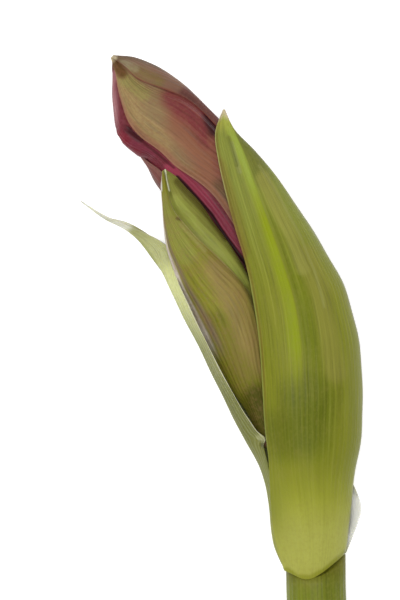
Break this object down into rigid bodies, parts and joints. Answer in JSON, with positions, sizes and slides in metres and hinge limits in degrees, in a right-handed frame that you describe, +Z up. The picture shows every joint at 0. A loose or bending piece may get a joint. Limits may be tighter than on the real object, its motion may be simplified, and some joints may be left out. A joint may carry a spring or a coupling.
{
  "type": "kolibri amaryllis, cut, in bud",
  "caption": "Cut kolibri amaryllis lying on its back: hollow scape, split two-valved spathe and flower buds standing out of it.",
  "frame": {"origin": "middle of the flower's footprint, on the surface it lies on", "axes": "+Y from the cut end of the scape towards the tips of the buds, +Z up from the surface, +X to the side away from the buds"},
  "size_m": [0.0676, 0.2744, 0.0288],
  "materials": {
    "scape_green": "satin",
    "spathe_green": "satin",
    "pale_spathe_green": "satin",
    "ovary_green": "satin",
    "khaki_tepal": "satin",
    "crimson_tepal": "satin",
    "olive_tepal": "satin"
  },
  "bodies": {
    "root": {"scape": "scape_green", "spathe_valve_front": "spathe_green", "spathe_valve_back": "pale_spathe_green", "large_bud_stalk_and_ovary": "ovary_green", "small_bud_stalk_and_ovary": "ovary_green", "large_bud_outer_tepal_top": "khaki_tepal", "large_bud_outer_tepal_front": "khaki_tepal", "large_bud_outer_tepal_back": "khaki_tepal", "large_bud_inner_tepal_low": "crimson_tepal", "large_bud_inner_tepal_high": "crimson_tepal", "large_bud_inner_tepal_rear": "crimson_tepal", "small_bud_outer_tepal_front": "olive_tepal", "small_bud_outer_tepal_right": "olive_tepal", "small_bud_outer_tepal_rear": "olive_tepal", "small_bud_inner_tepal_right": "crimson_tepal", "small_bud_inner_tepal_left": "crimson_tepal", "small_bud_inner_tepal_rear": "crimson_tepal"}
  },
  "joints": []
}
